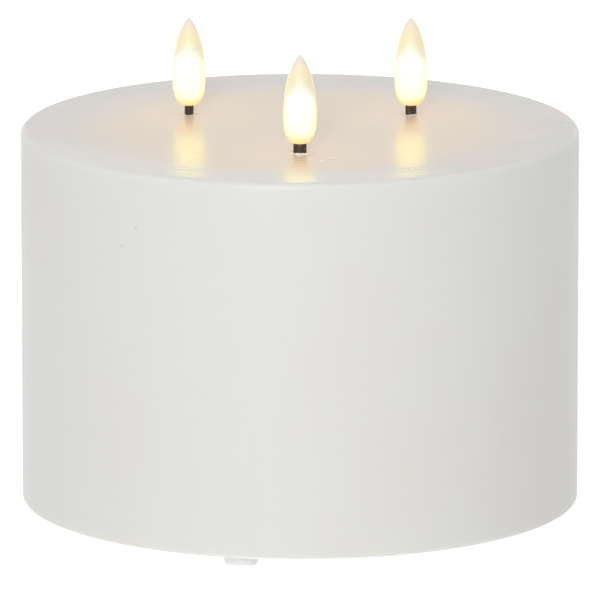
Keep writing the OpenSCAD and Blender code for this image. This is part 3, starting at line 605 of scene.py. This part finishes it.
rod = add(tree, "SetPosition", {"Geometry": rod, "Offset": push})
close_tree(tree, smooth_but(tree, rod, math.radians(50)))
wick_sleeves = []
for number, (spot, turn) in enumerate(zip(wick_places, WICK_TURNS), 1):
    piece = grown(f"wick_sleeve_{number}", tree, heat_shrink, X=spot.x, Y=spot.y, Turn=turn)
    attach(piece, "root")
    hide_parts(f"wick_{number}")
    wick_sleeves.append(piece)

# ---- Wax pillar ----------------------------------------------------------------------
# A cup of white paraffin wax, cast upside down in a smooth round mould: a solid roof, a
# 6 mm wall with a step at its foot for the base plate, and a hole for each wick.
wax_low, wax_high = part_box("wax_shell")
WAX_RADIUS, WAX_FOOT, WAX_TOP = wax_high.x, wax_low.z, wax_high.z
HOLLOW_RADIUS, HOLLOW_TOP = 69 * MM, 97.6 * MM
STEP_RADIUS, STEP_TOP = 71.5 * MM, 7.0 * MM
RIM_ROUND, HEM_ROUND, INNER_ROUND = 1.6 * MM, 1.0 * MM, 0.3 * MM
WICK_HOLE, WICK_CIRCLE = 2.2 * MM, wick_places[0].xy.length
AROUND, ALONG, ROUND_STEPS = 240, 20, 7
DRILL_AROUND, DRILL_LONG = 48, 60 * MM
SIDE_GLOSS, ROOF_GLOSS, SCRATCH_GLOSS = 0.4, 0.27, 0.5
CUT_RADII, CUT_FROM, CUT_TO = (62.0 * MM, 65.2 * MM), 0.3 * MM, 0.9 * MM
CUT_HALF_LONG, CUT_GONE = 3 * MM, 5 * MM

# Paraffin wax: pours smooth, scatters light a few millimetres deep. The side is satin from
# the mould. The roof is glossier and cool at the rim, and its middle carries a painted warm
# glow of the flames' light.
# The warm roof colour is a painted glow of the flames' light.
WAX_SIDE, WAX_SIDE_PINK = colour("#E8E9E6"), colour("#E9E6E3")
# The pale front rim colour is painted light, where the lamp in front falls on the rim.
WAX_PAINTED_GLOW, WAX_RIM, WAX_RIM_PAINTED_LIGHT = colour("#F3E0CE"), colour("#DFDDD8"), colour("#EDE9E5")
WAX_RIM_PINK = colour("#E7DDDB")
PAINTED_GLOW_WITHIN, PAINTED_GLOW_ENDS, PAINTED_GLOW_AHEAD = 45 * MM, 69 * MM, 3 * MM
FRONT_LEFT, PAINTED_LIGHT_FROM, PAINTED_LIGHT_TO = (-0.35, -0.94, 0), 30 * MM, 60 * MM
CLOUD, MOTTLE, SWELL = 70 * MM, 11 * MM, 3 * MM
RIPPLE, RIPPLE_BEND, BEND_LONG = 1.1 * MM, 1.5 * MM, 25 * MM
RIPPLE_PART, SWELL_PART, RELIEF_HIGH = 0.4, 0.6, 0.005 * MM
paraffin_wax, tree, wax = finish_named(
    "paraffin_wax", IOR=1.44, Subsurface_Weight=0.25, Subsurface_Scale=4 * MM,
    Subsurface_Radius=(1.0, 0.75, 0.5))
place = add(tree, "TexCoord").outputs["Object"]
axes = add(tree, "SeparateXYZ", {0: place})
flat = add(tree, "CombineXYZ", {0: axes.outputs[0], 1: axes.outputs[1]})
radius = add(tree, "VectorMath", {0: flat}, operation="LENGTH")
roof = add(tree, "MapRange", {0: axes.outputs[2], 1: WAX_TOP - 0.1 * MM, 2: WAX_TOP - 0.02 * MM})
# Clouds of the cast: pale pink and grey drifts 60 to 80 mm across.
clouds = add(tree, "TexNoise",
             {"Vector": place, "Scale": 1 / CLOUD, "Detail": 3.0, "Roughness": 0.55})
pinker = add(tree, "MapRange", {0: clouds, 1: 0.42, 2: 0.68})
side = add(tree, "Mix", {0: pinker, 6: WAX_SIDE, 7: WAX_SIDE_PINK}, data_type="RGBA")
# The painted flame glow lies 3 mm to the front; painted light makes the rim palest at the front
# left.
painted_glow_middle = add(tree, "VectorMath", {0: flat, 1: (0, -PAINTED_GLOW_AHEAD, 0)}, operation="DISTANCE")
ring = add(tree, "MapRange", {0: painted_glow_middle, 1: PAINTED_GLOW_WITHIN, 2: PAINTED_GLOW_ENDS},
           interpolation_type="SMOOTHSTEP")
# Painted light: the rim is made paler towards the front left.
painted_light_front = add(tree, "VectorMath", {0: flat, 1: FRONT_LEFT}, operation="DOT_PRODUCT")
painted_light_front = add(tree, "MapRange", {0: painted_light_front, 1: PAINTED_LIGHT_FROM, 2: PAINTED_LIGHT_TO},
               interpolation_type="SMOOTHSTEP")
mottled = add(tree, "TexNoise", {"Vector": place, "Scale": 1 / MOTTLE, "Detail": 2.0})
mottled = add(tree, "MapRange", {0: mottled, 1: 0.45, 2: 0.65})
rim_shade = add(tree, "Mix", {0: mottled, 6: WAX_RIM, 7: WAX_RIM_PINK}, data_type="RGBA")
rim_shade = add(tree, "Mix", {0: painted_light_front, 6: rim_shade, 7: WAX_RIM_PAINTED_LIGHT}, data_type="RGBA")
# The middle of the roof takes the painted flame glow.
top = add(tree, "Mix", {0: ring, 6: WAX_PAINTED_GLOW, 7: rim_shade}, data_type="RGBA")
skin = add(tree, "Mix", {0: roof, 6: side, 7: top}, data_type="RGBA")
lay(tree, skin, wax, "Base Color")
# Rings that the trimming of the roof left: a ripple 1 mm apart, and in front of each rear
# wick two shallow cuts, drawn 1.2 mm wide to show, that break the flame's reflection.
warp = add(tree, "TexNoise", {"Vector": place, "Scale": 1 / BEND_LONG, "Detail": 2.0})
bent = add(tree, "Math", {0: warp, 1: RIPPLE_BEND, 2: radius}, operation="MULTIPLY_ADD")
rings = add(tree, "TexNoise", {"W": bent, "Scale": 1 / RIPPLE, "Detail": 2.0},
            noise_dimensions="1D")
aside = add(tree, "Math", {0: axes.outputs[0]}, operation="ABSOLUTE")
aside = add(tree, "MapRange", {0: far_from(tree, aside, wick_places[1].x),
                               1: CUT_HALF_LONG, 2: CUT_GONE, 3: 1.0, 4: 0.0})
ahead = add(tree, "Math", {0: axes.outputs[1], 1: 0.0}, operation="LESS_THAN")
aside = add(tree, "Math", {0: aside, 1: ahead}, operation="MULTIPLY")
scratch = 0.0
for cut_at in CUT_RADII:
    cut = add(tree, "MapRange", {0: far_from(tree, radius, cut_at), 1: CUT_FROM,
                                 2: CUT_TO, 3: 0.5, 4: 0.0})
    cut = add(tree, "Math", {0: cut, 1: aside}, operation="MULTIPLY")
    scratch = add(tree, "Math", {0: cut, 1: scratch}, operation="MAXIMUM")
roof_gloss = add(tree, "Mix", {0: scratch, 2: ROOF_GLOSS, 3: SCRATCH_GLOSS})
# Satin side, glossier roof and rim.
rim = add(tree, "MapRange", {0: axes.outputs[2], 1: WAX_TOP - 1.5 * MM, 2: WAX_TOP - 0.8 * MM})
gloss = add(tree, "Mix", {0: rim, 2: SIDE_GLOSS, 3: roof_gloss})
lay(tree, gloss, wax, "Roughness")
ring_height = add(tree, "Math", {0: rings, 1: roof}, operation="MULTIPLY")
ring_height = add(tree, "Math", {0: ring_height, 1: RIPPLE_PART}, operation="MULTIPLY")
# A shallow swell 3 mm across, everywhere.
grain = add(tree, "TexNoise", {"Vector": place, "Scale": 1 / SWELL, "Detail": 4.0})
relief = add(tree, "Math", {0: grain, 1: SWELL_PART, 2: ring_height}, operation="MULTIPLY_ADD")
bump = add(tree, "Bump", {"Height": relief, "Strength": 0.6, "Distance": RELIEF_HIGH})
lay(tree, bump, wax, "Normal")

tree, size = new_tree(
    "cast_pillar", Radius=WAX_RADIUS, Foot=WAX_FOOT, Top=WAX_TOP, Hollow_Radius=HOLLOW_RADIUS,
    Hollow_Top=HOLLOW_TOP, Step_Radius=STEP_RADIUS, Step_Top=STEP_TOP, Rim_Round=RIM_ROUND,
    Hem_Round=HEM_ROUND, Inner_Round=INNER_ROUND, Wick_Hole=WICK_HOLE,
    Wick_Circle=WICK_CIRCLE, Around=AROUND, Along=ALONG)
outline = [(0.0, size["Top"]), (size["Radius"], size["Top"]), (size["Radius"], size["Foot"]),
           (size["Step_Radius"], size["Foot"]), (size["Step_Radius"], size["Step_Top"]),
           (size["Hollow_Radius"], size["Step_Top"]),
           (size["Hollow_Radius"], size["Hollow_Top"]), (0.0, size["Hollow_Top"])]
corners = [add(tree, "CombineXYZ", {0: out, 1: up}) for out, up in outline]
curve = add(tree, "MeshToCurve", {"Mesh": spread(tree, corners)})
long_side = add(tree, "Compare", {2: add(tree, "InputIndex"), 3: 1},
                data_type="INT", operation="LESS_EQUAL")
cuts = add(tree, "Switch", {"Switch": long_side, "True": size["Along"]}, input_type="INT")
curve = add(tree, "SubdivideCurve", {"Curve": curve, "Cuts": cuts})
spot = add(tree, "SeparateXYZ", {0: add(tree, "InputPosition")})
outer = add(tree, "Compare", {0: spot.outputs[0], 1: size["Radius"],
                              "Epsilon": 0.1 * MM}, operation="EQUAL")
high = add(tree, "Compare", {0: spot.outputs[1], 1: size["Hollow_Top"]}, operation="GREATER_THAN")
outer_round = add(tree, "Switch", {"Switch": high, "False": size["Hem_Round"],
                                   "True": size["Rim_Round"]}, input_type="FLOAT")
rounds = add(tree, "Switch", {"Switch": outer, "False": size["Inner_Round"],
                              "True": outer_round}, input_type="FLOAT")
curve = add(tree, "FilletCurve", {"Curve": curve, "Count": ROUND_STEPS, "Radius": rounds,
                                  "Limit Radius": True}, mode="POLY")


def turned(tree, outline_curve, around):
    """Turns an outline, drawn as (distance from the axis, height), into a closed solid."""
    hub = 10 * MM
    moved = add(tree, "Transform", {"Geometry": outline_curve, "Translation": (-hub, 0, 0),
                                    "Scale": (1, -1, 1)})
    wheel = add(tree, "CurvePrimitiveCircle", {"Resolution": around, "Radius": hub})
    skin = add(tree, "CurveToMesh", {"Curve": wheel, "Profile Curve": moved})
    return add(tree, "MergeByDistance", {"Geometry": skin, "Distance": 0.002 * MM})


def at_wicks(tree, circle, thing):
    """A real copy of a thing at each wick, the first one in front."""
    three = add(tree, "MeshCircle", {"Vertices": 3, "Radius": circle})
    three = add(tree, "Transform", {"Geometry": three, "Rotation": (0, 0, math.radians(-90))})
    copies = add(tree, "InstanceOnPoints", {"Points": three, "Instance": thing})
    return add(tree, "RealizeInstances", {"Geometry": copies})


pillar = turned(tree, curve, size["Around"])
drill = add(tree, "MeshCylinder", {"Vertices": DRILL_AROUND, "Depth": DRILL_LONG,
                                   "Radius": size["Wick_Hole"]})
roof_height = add(tree, "CombineXYZ", {2: size["Top"]})
drill = add(tree, "Transform", {"Geometry": drill, "Translation": roof_height})
drills = at_wicks(tree, size["Wick_Circle"], drill)
pillar = add(tree, "MeshBoolean", {"Mesh 1": pillar}, operation="DIFFERENCE", solver="EXACT")
lay(tree, drills, pillar, "Mesh 2")
pillar = smooth_but(tree, pillar, math.radians(40))
close_tree(tree, pillar)
wax_pillar = grown("wax_pillar", tree, paraffin_wax)
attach(wax_pillar, "root")
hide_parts("wax_shell")

# ---- Wax collars, crumbs and flecks --------------------------------------------------
# Round each wick the wax stands in a low white collar, left when the sleeve was sealed in.
# A few crumbs of wax lie on the roof, and dark specks of dust are cast into the skin.
COLLAR_OUT, COLLAR_IN, COLLAR_HIGH = 2.5 * MM, 1.1 * MM, 0.16 * MM
COLLAR_SUNK, COLLAR_EDGE = -0.3 * MM, 0.02 * MM
COLLAR_LUMP, COLLAR_UNEVEN, COLLAR_ROOT = 0.9 * MM, 0.3 * MM, -0.1 * MM
CRUMB_SIZE, FLECK_SIZE = 0.6 * MM, 0.26 * MM
pillar_tree = BVHTree.FromObject(wax_pillar, bpy.context.evaluated_depsgraph_get())
# Rubbed paraffin: the same wax, whiter and matt where it is broken up.
RUBBED_WHITE, RUBBED_SHADE = colour("#FCFBF8"), colour("#EFE8DE")
rubbed_wax, tree, rubbed = finish_named("rubbed_wax", IOR=1.44, Roughness=0.5)
place = add(tree, "TexCoord").outputs["Object"]
lumps = add(tree, "TexNoise", {"Vector": place, "Scale": 1 / (0.8 * MM), "Detail": 3.0})
lay(tree, add(tree, "Mix", {0: lumps, 6: RUBBED_SHADE, 7: RUBBED_WHITE},
              data_type="RGBA"), rubbed, "Base Color")
lay(tree, add(tree, "Bump", {"Height": lumps, "Strength": 0.5, "Distance": 0.1 * MM}),
    rubbed, "Normal")

tree, size = new_tree("sealed_collars", Out=COLLAR_OUT, In=COLLAR_IN, High=COLLAR_HIGH,
                      Wick_Circle=WICK_CIRCLE, Top=WAX_TOP, Around=64)
middle = add(tree, "Math", {0: size["In"], 1: size["Out"]}, operation="ADD")
middle = add(tree, "Math", {0: middle, 1: 0.5}, operation="MULTIPLY")
start = add(tree, "CombineXYZ", {0: size["In"], 1: COLLAR_SUNK})
crest = add(tree, "CombineXYZ", {0: size["In"], 1: size["High"]})
half_way = add(tree, "CombineXYZ", {0: middle, 1: COLLAR_EDGE})
end = add(tree, "CombineXYZ", {0: size["Out"], 1: -COLLAR_EDGE})
foot = add(tree, "CombineXYZ", {0: size["Out"], 1: COLLAR_SUNK})
slope = add(tree, "CurveQuadraticBezier", {"Resolution": 8, "Start": crest,
                                           "Middle": half_way, "End": end})
inner = add(tree, "CurvePrimitiveLine", {"Start": start, "End": crest})
under = add(tree, "CurvePrimitiveLine", {"Start": end, "End": foot})
floor_line = add(tree, "CurvePrimitiveLine", {"Start": foot, "End": start})
profile = add(tree, "JoinGeometry")
for part in (floor_line, under, slope, inner):
    tree.links.new(part.outputs[0], profile.inputs[0])
collar = turned(tree, profile, size["Around"])
spot = add(tree, "InputPosition")
wobble = add(tree, "TexNoise", {"Vector": spot, "Scale": 1 / COLLAR_LUMP, "Detail": 3.0})
collars = at_wicks(tree, size["Wick_Circle"], collar)
lift = add(tree, "Math", {0: wobble, 1: -0.5}, operation="ADD")
lift = add(tree, "Math", {0: lift, 1: COLLAR_UNEVEN}, operation="MULTIPLY")
push = add(tree, "CombineXYZ", {0: lift, 1: lift, 2: lift})
height = add(tree, "SeparateXYZ", {0: spot}).outputs[2]
proud = add(tree, "Compare", {0: height, 1: COLLAR_ROOT}, operation="GREATER_THAN")
collars = add(tree, "SetPosition", {"Geometry": collars, "Selection": proud, "Offset": push})
up = add(tree, "CombineXYZ", {2: size["Top"]})
collars = add(tree, "Transform", {"Geometry": collars, "Translation": up})
close_tree(tree, smooth_but(tree, collars, math.radians(60)))
wax_collars = grown("wax_collars", tree, rubbed_wax)

front_wick = wick_places[0]
crumb_places = [surface_at(name, pillar_tree) for name in ("top_crumb_a", "top_crumb_b")]
# Round the front wick: (degrees from +X, millimetres from the wick).
for turn, out in ((200, 2.3), (225, 2.9), (250, 2.5), (268, 3.4), (290, 2.4), (312, 2.8),
                  (335, 3.3), (20, 3.1), (160, 2.9)):
    crumb_places.append(Vector((front_wick.x + math.cos(math.radians(turn)) * out * MM,
                                front_wick.y + math.sin(math.radians(turn)) * out * MM, WAX_TOP)))
crumb_places.append(crumb_places[0] + Vector((0.9, -0.8, 0)) * MM)
crumb_places.append(crumb_places[1] + Vector((0.8, 0.5, 0)) * MM)
wax_crumbs = strewn("wax_crumbs", crumb_places, CRUMB_SIZE, 0.6, 0.9, 3, rubbed_wax)
# Soot and dust: dark grey-brown, matt, seen through a thin skin of wax.
FLECK_DARK, FLECK_PALE = colour("#4A463F"), colour("#8C877C")
cast_in_dust, tree, dust = finish_named("cast_in_dust", IOR=1.44, Roughness=0.5)
place = add(tree, "TexCoord").outputs["Object"]
shades = add(tree, "TexNoise", {"Vector": place, "Scale": 1 / (0.3 * MM)})
lay(tree, add(tree, "Mix", {0: shades, 6: FLECK_DARK, 7: FLECK_PALE},
              data_type="RGBA"), dust, "Base Color")
fleck_places = [surface_at(name, pillar_tree) for name in
                ("side_fleck", "side_fleck_faint", "top_fleck", "top_nick_left", "top_nick_right")]
wax_flecks = strewn("wax_flecks", fleck_places, FLECK_SIZE, 0.25, 0.8, 8, cast_in_dust)
for piece in (wax_collars, wax_crumbs, wax_flecks):
    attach(piece, "root")

# ---- Flames --------------------------------------------------------------------------
# Drops of milky polypropylene, moulded hollow and pushed on the LEDs. The LED shines up
# through the middle, so the belly glows white, the foot golden and the tip dull cream.
flame_low, flame_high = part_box("flame_1")
FLAME_BODY = [(0.0, "#E2C88A"), (0.05, "#ECDCA6"), (0.14, "#F0E9CC"), (0.5, "#F0EBDA"),
              (0.75, "#F0E6CC"), (0.92, "#ECE0CE"), (1.0, "#E4DAD2")]
FLAME_GLOW = [(0.0, "#AA9363"), (0.035, "#897454"), (0.065, "#6F655D"), (0.11, "#897E71"),
              (0.175, "#CBC879"), (0.28, "#FBF97C"), (0.5, "#FBF97C"), (0.56, "#D8DA7E"),
              (0.6, "#737767"), (0.64, "#555D59"), (0.68, "#464D46"), (0.72, "#414630"),
              (0.78, "#484214"), (0.9, "#4B482E"), (1.0, "#3F4045")]
FLAME_OUTLINE, HIGHER_AT_OUTLINE = colour("#6C6238"), 0.35
FLAME_DRIFT = 1.2 * MM
milky_polypropylene, tree, milky = finish_named(
    "milky_polypropylene", IOR=1.49, Roughness=0.32, Subsurface_Weight=0.5,
    Subsurface_Scale=2 * MM, Subsurface_Radius=(1.0, 0.8, 0.5), Emission_Strength=2.0,
    Sheen_Weight=0.25, Sheen_Roughness=0.35, Sheen_Tint=colour("#E6C66A"))
place = add(tree, "TexCoord").outputs["Object"]
tall = add(tree, "SeparateXYZ", {0: place}).outputs[2]
cloud = add(tree, "TexNoise", {"Vector": place, "Scale": 1 / (4 * MM), "Detail": 2.0})
drift = add(tree, "Math", {0: cloud, 1: FLAME_DRIFT, 2: tall}, operation="MULTIPLY_ADD")
height = add(tree, "MapRange", {0: drift, 1: flame_low.z + FLAME_DRIFT / 2,
                                2: flame_high.z + FLAME_DRIFT / 2})
body = add(tree, "ValToRGB", {0: height}, [(at, colour(c)) for at, c in FLAME_BODY])
lay(tree, body, milky, "Base Color")
# The light reaches highest along the middle, and the outline glows a dull gold.
facing = add(tree, "LayerWeight", {"Blend": 0.5}).outputs["Facing"]
aslant = add(tree, "Math", {0: facing, 1: HIGHER_AT_OUTLINE, 2: 1.0}, operation="MULTIPLY_ADD")
lit_height = add(tree, "Math", {0: height, 1: aslant}, operation="MULTIPLY")
glow = add(tree, "ValToRGB", {0: lit_height}, [(at, colour(c)) for at, c in FLAME_GLOW])
outline = add(tree, "MapRange", {0: facing, 1: 0.3, 2: 0.8, 3: 0.0, 4: 0.85})
lay(tree, add(tree, "Mix", {0: outline, 6: glow, 7: FLAME_OUTLINE},
              data_type="RGBA"), milky, "Emission Color")
frost = add(tree, "TexNoise", {"Vector": place, "Scale": 1 / (0.4 * MM)})
lay(tree, add(tree, "Bump", {"Height": frost, "Strength": 0.3, "Distance": 0.02 * MM}),
    milky, "Normal")
dress(milky_polypropylene, "flame_1", "flame_2", "flame_3")

# ---- Cells ---------------------------------------------------------------------------
# Two C cells side by side, head to tail. Each is a drawn nickel-plated can with a round
# contact at one end, in a plain printed shrink jacket rolled over both shoulders.
_, cell_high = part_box("cell_1_can")
# Deep-drawn nickel: bright, with drawing lines along the can and rub marks on the ends.
drawn_nickel, tree, can, place, _ = two_tone(
    "drawn_nickel", "#D2CEC6", "#BDB9B1", 5 * MM, 0.12 * MM, 0.006 * MM, (1, 0.06, 1),
    Metallic=1.0)
rubbed = add(tree, "TexNoise", {"Vector": place, "Scale": 1 / (4 * MM), "Detail": 4.0})
lay(tree, add(tree, "MapRange", {0: rubbed, 3: 0.16, 4: 0.4}), can, "Roughness")
dress(drawn_nickel, "cell_1_can", "cell_2_can")
# PVC jacket: graphite with a copper band at the positive end, glossy, tight with faint ripples.
JACKET_COPPER, BAND_FROM_NUB = colour("#B97A45"), 15.9 * MM
printed_jacket, tree, jacket, place, dark_shade = two_tone(
    "printed_jacket", "#23282D", "#2A3036", 12 * MM, 3 * MM, 0.04 * MM, (1, 0.3, 1), IOR=1.53,
    Roughness=0.24)
axes = add(tree, "SeparateXYZ", {0: place})
way = add(tree, "Math", {0: axes.outputs[0]}, operation="SIGN")
towards = add(tree, "Math", {0: axes.outputs[1], 1: way}, operation="MULTIPLY")
band = add(tree, "Math", {0: towards, 1: cell_high.y - BAND_FROM_NUB}, operation="GREATER_THAN")
lay(tree, add(tree, "Mix", {0: band, 6: dark_shade, 7: JACKET_COPPER},
              data_type="RGBA"), jacket, "Base Color")
dress(printed_jacket, "cell_1_jacket", "cell_2_jacket")

# ---- Battery door --------------------------------------------------------------------
# A flat ABS lid with two tabs that tilt in slots at the back and a sprung latch moulded at
# the front. Grooves and a raised arrow by the thumb scoop show where to press.
door_low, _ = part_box("battery_door")
_, latch_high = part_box("door_latch")
dress(spark_eroded_abs, "battery_door", "door_latch")
ARROW_LONG, ARROW_WIDE, ARROW_PROUD, ARROW_SOFT = 5 * MM, 6 * MM, 0.3 * MM, 0.12 * MM
ARROW_FROM_LATCH, ARROW_SUNK = 5.5 * MM, 0.1 * MM
arrow_y = latch_high.y + ARROW_FROM_LATCH
arrow = bmesh.new()
rings = []
for inset, z in ((0, ARROW_SUNK), (0, -ARROW_PROUD + ARROW_SOFT), (ARROW_SOFT, -ARROW_PROUD)):
    rings.append([arrow.verts.new((x, arrow_y + y, door_low.z + z)) for x, y in (
        (-ARROW_WIDE / 2 + 2 * inset, ARROW_LONG - inset), (0, 2 * inset),
        (ARROW_WIDE / 2 - 2 * inset, ARROW_LONG - inset))])
for lower, upper in zip(rings, rings[1:]):
    for i in range(3):
        arrow.faces.new((lower[i], lower[(i + 1) % 3], upper[(i + 1) % 3], upper[i]))
arrow.faces.new(rings[0])
arrow.faces.new(rings[-1])
bmesh.ops.recalc_face_normals(arrow, faces=arrow.faces)
arrow_mesh = bpy.data.meshes.new("door_arrow")
arrow.to_mesh(arrow_mesh)
arrow.free()
arrow_mesh.materials.append(spark_eroded_abs)
door_arrow = put("door_arrow", arrow_mesh)
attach(door_arrow, "battery_door")

# ---- Measures ------------------------------------------------------------------------
# Where the wax, the foot, the flames and the wicks show in the photograph's frame, in
# pixels, with hidden vertices left out.
def pixel_of(place):
    """Where the camera shows a place, in pixels of the photograph's frame."""
    seen = camera.matrix_world.inverted() @ Vector(place)
    long_side = max(FRAME_W, FRAME_H)
    scale = long_side * camera.data.lens / camera.data.sensor_width / -seen.z
    return (FRAME_W / 2 + seen.x * scale - camera.data.shift_x * long_side,
            FRAME_H / 2 - seen.y * scale + camera.data.shift_y * long_side)


def shown(piece):
    """The pixels of a piece's finished vertices, hidden ones left out."""
    sight = bpy.context.evaluated_depsgraph_get()
    found = []
    for vertex in piece.data.vertices:
        way = vertex.co - camera.location
        hit, place, *_ = scene.ray_cast(sight, camera.location, way.normalized())
        if not hit or (place - camera.location).length > way.length - 0.4 * MM:
            found.append(pixel_of(vertex.co))
    return found


table.hide_viewport = True
bpy.context.view_layer.update()
of_wax, of_foot = shown(wax_pillar), shown(nodes["foot_1"])
of_flames = [shown(nodes[f"flame_{n}"]) for n in (1, 2, 3)]
of_wicks = [shown(piece) for piece in wick_sleeves]


table.hide_viewport = False
